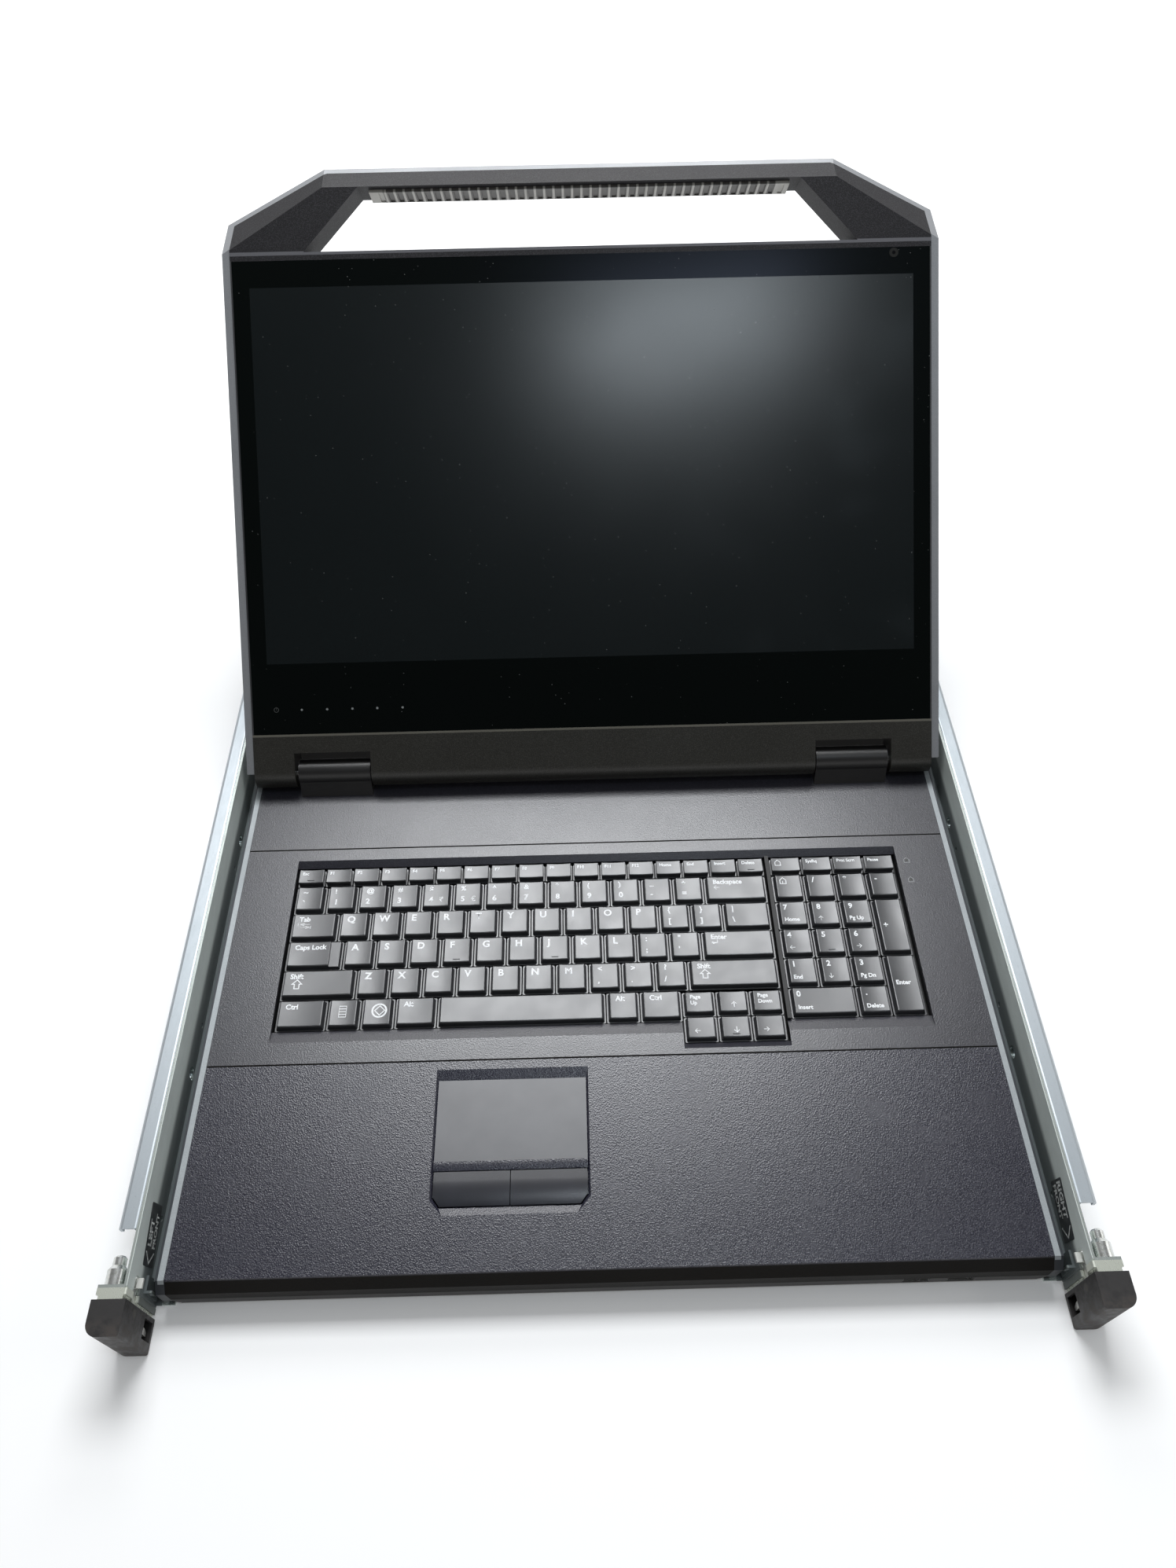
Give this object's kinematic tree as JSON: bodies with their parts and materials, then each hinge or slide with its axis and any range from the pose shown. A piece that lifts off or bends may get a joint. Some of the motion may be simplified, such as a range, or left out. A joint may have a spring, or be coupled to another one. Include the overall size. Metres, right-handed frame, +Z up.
{
  "type": "rackmount lcd console drawer",
  "caption": "Sliding rack drawer with keyboard, touchpad and a fold-up display with a handle, on telescoping rails with latching front ears.",
  "frame": {"origin": "centre of the rectangle of four front studs, in the plane where the front ears meet the rack posts", "axes": "+X to the operator's right, +Y rearwards into the rack, +Z up"},
  "size_m": [0.48, 0.669, 0.2858],
  "materials": {
    "zinc_plate": "zinc plated, slightly green and blue passivation",
    "stud_steel": "turned and zinc plated",
    "latch_steel": "bright zinc plate",
    "cover_black": "moulded, fine texture, scuffed",
    "slide_steel": "rolled, zinc plated",
    "glide_white": "moulded acetal",
    "chassis_black": "black powder coat",
    "cheek_silver": "satin painted",
    "palm_charcoal": "moulded, leather grain",
    "bezel_charcoal": "moulded, fine grain",
    "pad_charcoal": "smooth satin",
    "key_charcoal": "satin, worn slightly shiny",
    "key_base_black": "moulded",
    "lens_smoke": "smoked lens",
    "socket_metal": "plated shell",
    "socket_black": "moulded",
    "board_green": "solder mask",
    "supply_case": "brushed",
    "knuckle_black": "moulded, semi-gloss",
    "back_black": "moulded, fine texture",
    "trim_silver": "satin, light wear",
    "chin_black": "moulded, fine texture",
    "handle_charcoal": "moulded, fine texture",
    "grip_ribbed": "ribbed insert",
    "screen_glass": "printed black behind clear glass",
    "panel_frame": "module frame",
    "pin_steel": "turned"
  },
  "bodies": {
    "rack_rails": {"left_front_rail": "zinc_plate", "left_mount_plate": "zinc_plate", "left_latch_cover": "cover_black", "left_slide_outer": "slide_steel", "right_front_rail": "zinc_plate", "right_mount_plate": "zinc_plate", "right_latch_cover": "cover_black", "right_slide_outer": "slide_steel", "front_studs": "stud_steel", "latch_pivots": "pin_steel"},
    "left_latch": {"left_latch_lever": "latch_steel"},
    "left_rear_section": {"left_rear_rail": "zinc_plate", "left_rear_bracket": "zinc_plate", "left_rear_studs": "stud_steel"},
    "left_slide": {"left_slide_middle": "slide_steel", "left_slide_glides": "glide_white"},
    "right_latch": {"right_latch_lever": "latch_steel"},
    "right_rear_section": {"right_rear_rail": "zinc_plate", "right_rear_bracket": "zinc_plate", "right_rear_studs": "stud_steel"},
    "right_slide": {"right_slide_middle": "slide_steel", "right_slide_glides": "glide_white"},
    "tray": {"tray_chassis": "chassis_black", "left_cheek": "cheek_silver", "right_cheek": "cheek_silver", "left_slide_inner": "slide_steel", "right_slide_inner": "slide_steel", "palm_rest": "palm_charcoal", "touchpad_surface": "pad_charcoal", "keyboard_bezel": "bezel_charcoal", "keyboard_base": "key_base_black", "indicator_lenses": "lens_smoke", "rear_deck": "bezel_charcoal", "usb_sockets": "socket_metal", "rear_sockets": "socket_black", "controller_board": "board_green", "power_supply": "supply_case", "hinge_knuckles": "knuckle_black"},
    "display": {"display_back_cover": "back_black", "display_trim": "trim_silver", "display_chin": "chin_black", "display_handle": "handle_charcoal", "grip_insert": "grip_ribbed", "cover_glass": "screen_glass", "lcd_panel": "panel_frame", "display_board": "board_green", "hinge_pins": "pin_steel"},
    "left_button": {"left_click_button": "pad_charcoal"},
    "right_button": {"right_click_button": "pad_charcoal"},
    "function_keys": {"function_keys": "key_charcoal"},
    "number_row_keys": {"number_row_keys": "key_charcoal"},
    "upper_row_keys": {"upper_row_keys": "key_charcoal"},
    "home_row_keys": {"home_row_keys": "key_charcoal"},
    "lower_row_keys": {"lower_row_keys": "key_charcoal"},
    "modifier_keys": {"modifier_keys": "key_charcoal"},
    "space_bar": {"space_bar": "key_charcoal"},
    "cursor_keys": {"cursor_keys": "key_charcoal"},
    "numpad_keys": {"numpad_keys": "key_charcoal"}
  },
  "joints": [
    {"name": "tray_slide", "type": "slide", "parent": "rack_rails", "child": "tray", "axis": [0, -1, 0], "range_m": [0, 0.38]},
    {"name": "left_slide_follow", "type": "slide", "parent": "rack_rails", "child": "left_slide", "axis": [0, -1, 0], "range_m": [0, 0.19]},
    {"name": "right_slide_follow", "type": "slide", "parent": "rack_rails", "child": "right_slide", "axis": [0, -1, 0], "range_m": [0, 0.19]},
    {"name": "display_hinge", "type": "hinge", "parent": "tray", "child": "display", "pos_m": [0, 0.311, 0.0114], "axis": [-1, 0, 0], "range_deg": [-137.46, 0]},
    {"name": "left_rail_adjust", "type": "slide", "parent": "rack_rails", "child": "left_rear_section", "axis": [0, 1, 0], "range_m": [0, 0.2]},
    {"name": "right_rail_adjust", "type": "slide", "parent": "rack_rails", "child": "right_rear_section", "axis": [0, 1, 0], "range_m": [0, 0.2]},
    {"name": "left_latch_pivot", "type": "hinge", "parent": "rack_rails", "child": "left_latch", "pos_m": [-0.2267, -0.0099, 0.0067], "axis": [1, 0, 0], "range_deg": [0, 10], "stiffness_Nm_per_rad": 0.05, "springref_deg": -5.73},
    {"name": "right_latch_pivot", "type": "hinge", "parent": "rack_rails", "child": "right_latch", "pos_m": [0.2267, -0.0099, 0.0067], "axis": [1, 0, 0], "range_deg": [0, 10], "stiffness_Nm_per_rad": 0.05, "springref_deg": -5.73},
    {"name": "left_click", "type": "slide", "parent": "tray", "child": "left_button", "axis": [0, 0, -1], "range_m": [0, 0.0006], "stiffness_N_per_m": 1500, "springref_m": -0.0005},
    {"name": "right_click", "type": "slide", "parent": "tray", "child": "right_button", "axis": [0, 0, -1], "range_m": [0, 0.0006], "stiffness_N_per_m": 1500, "springref_m": -0.0005},
    {"name": "function_keys_press", "type": "slide", "parent": "tray", "child": "function_keys", "axis": [0, 0, -1], "range_m": [0, 0.0025], "stiffness_N_per_m": 300, "springref_m": -0.002},
    {"name": "number_row_keys_press", "type": "slide", "parent": "tray", "child": "number_row_keys", "axis": [0, 0, -1], "range_m": [0, 0.0025], "stiffness_N_per_m": 300, "springref_m": -0.002},
    {"name": "upper_row_keys_press", "type": "slide", "parent": "tray", "child": "upper_row_keys", "axis": [0, 0, -1], "range_m": [0, 0.0025], "stiffness_N_per_m": 300, "springref_m": -0.002},
    {"name": "home_row_keys_press", "type": "slide", "parent": "tray", "child": "home_row_keys", "axis": [0, 0, -1], "range_m": [0, 0.0025], "stiffness_N_per_m": 300, "springref_m": -0.002},
    {"name": "lower_row_keys_press", "type": "slide", "parent": "tray", "child": "lower_row_keys", "axis": [0, 0, -1], "range_m": [0, 0.0025], "stiffness_N_per_m": 300, "springref_m": -0.002},
    {"name": "modifier_keys_press", "type": "slide", "parent": "tray", "child": "modifier_keys", "axis": [0, 0, -1], "range_m": [0, 0.0025], "stiffness_N_per_m": 300, "springref_m": -0.002},
    {"name": "space_bar_press", "type": "slide", "parent": "tray", "child": "space_bar", "axis": [0, 0, -1], "range_m": [0, 0.0025], "stiffness_N_per_m": 300, "springref_m": -0.002},
    {"name": "cursor_keys_press", "type": "slide", "parent": "tray", "child": "cursor_keys", "axis": [0, 0, -1], "range_m": [0, 0.0025], "stiffness_N_per_m": 300, "springref_m": -0.002},
    {"name": "numpad_keys_press", "type": "slide", "parent": "tray", "child": "numpad_keys", "axis": [0, 0, -1], "range_m": [0, 0.0025], "stiffness_N_per_m": 300, "springref_m": -0.002}
  ],
  "couplings": [
    {"joint": "left_slide_follow", "follows": "tray_slide", "ratio": 0.5},
    {"joint": "right_slide_follow", "follows": "tray_slide", "ratio": 0.5}
  ]
}
